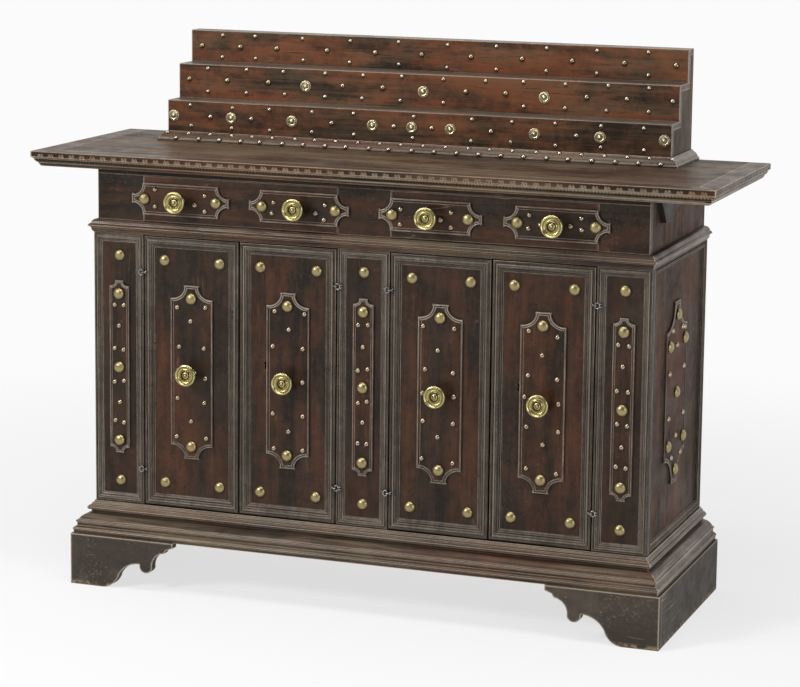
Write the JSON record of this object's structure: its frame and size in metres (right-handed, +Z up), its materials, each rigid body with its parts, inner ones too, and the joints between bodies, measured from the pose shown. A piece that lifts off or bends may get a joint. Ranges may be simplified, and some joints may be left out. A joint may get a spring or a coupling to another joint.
{
  "type": "sideboard",
  "caption": "Antique walnut sideboard on bracket feet, with studded cartouche doors, frieze drawers and a stepped studded stand along the back of its top.",
  "frame": {"origin": "on the floor, under the middle of the sideboard's overall width and depth", "axes": "+X to the viewer's right along the front, -Y out of the front, +Z up"},
  "size_m": [1.694, 0.549, 1.329],
  "materials": {
    "walnut": "waxed, worn",
    "walnut_red": "waxed, worn",
    "inner_wood": "unfinished",
    "turned_brass": "polished, aged",
    "stud_brass": "aged",
    "iron": "forged, dark"
  },
  "bodies": {
    "carcass": {"side_boards": "walnut", "back_boards": "inner_wood", "cupboard_floor": "inner_wood", "dust_board": "inner_wood", "centre_partition": "inner_wood", "shelves": "inner_wood", "frieze_frame": "walnut", "drawer_guides": "inner_wood", "pilasters": "walnut", "pilaster_cartouches": "walnut", "side_cartouches": "walnut", "body_studs": "stud_brass", "tabletop": "walnut", "tabletop_moulding": "walnut", "waist_moulding": "walnut", "base_moulding": "walnut", "foot_boards": "walnut", "top_battens": "walnut", "stand_risers": "walnut_red", "stand_treads": "walnut_red", "stand_back": "inner_wood", "stand_sides": "walnut", "stand_moulding": "walnut_red", "stand_rosettes": "stud_brass", "hinge_eyes": "iron"},
    "door_1": {"door_1_leaf": "walnut_red", "door_1_cartouche": "walnut_red", "door_1_studs": "stud_brass", "door_1_knob": "turned_brass", "door_1_hinge_eyes": "iron", "door_1_bolt": "iron"},
    "door_2": {"door_2_leaf": "walnut_red", "door_2_cartouche": "walnut_red", "door_2_studs": "stud_brass", "door_2_knob": "turned_brass", "door_2_hinge_eyes": "iron", "door_2_lock": "iron"},
    "door_3": {"door_3_leaf": "walnut_red", "door_3_cartouche": "walnut_red", "door_3_studs": "stud_brass", "door_3_knob": "turned_brass", "door_3_hinge_eyes": "iron", "door_3_bolt": "iron"},
    "door_4": {"door_4_leaf": "walnut_red", "door_4_cartouche": "walnut_red", "door_4_studs": "stud_brass", "door_4_knob": "turned_brass", "door_4_hinge_eyes": "iron", "door_4_lock": "iron"},
    "drawer_left": {"drawer_left_front": "walnut", "drawer_left_box": "inner_wood", "drawer_left_cartouches": "walnut", "drawer_left_studs": "stud_brass", "drawer_left_knobs": "turned_brass"},
    "drawer_right": {"drawer_right_front": "walnut", "drawer_right_box": "inner_wood", "drawer_right_cartouches": "walnut", "drawer_right_studs": "stud_brass", "drawer_right_knobs": "turned_brass"}
  },
  "joints": [
    {"name": "door_1_hinge", "type": "hinge", "parent": "carcass", "child": "door_1", "pos_m": [-0.566, -0.2341, 0.537], "axis": [0, 0, -1], "range_deg": [0, 110]},
    {"name": "door_2_hinge", "type": "hinge", "parent": "carcass", "child": "door_2", "pos_m": [-0.067, -0.2341, 0.537], "axis": [0, 0, 1], "range_deg": [0, 95]},
    {"name": "door_3_hinge", "type": "hinge", "parent": "carcass", "child": "door_3", "pos_m": [0.067, -0.2341, 0.537], "axis": [0, 0, -1], "range_deg": [0, 95]},
    {"name": "door_4_hinge", "type": "hinge", "parent": "carcass", "child": "door_4", "pos_m": [0.566, -0.2341, 0.537], "axis": [0, 0, 1], "range_deg": [0, 110]},
    {"name": "drawer_left_slide", "type": "slide", "parent": "carcass", "child": "drawer_left", "axis": [0, -1, 0], "range_m": [0, 0.28]},
    {"name": "drawer_right_slide", "type": "slide", "parent": "carcass", "child": "drawer_right", "axis": [0, -1, 0], "range_m": [0, 0.28]}
  ]
}
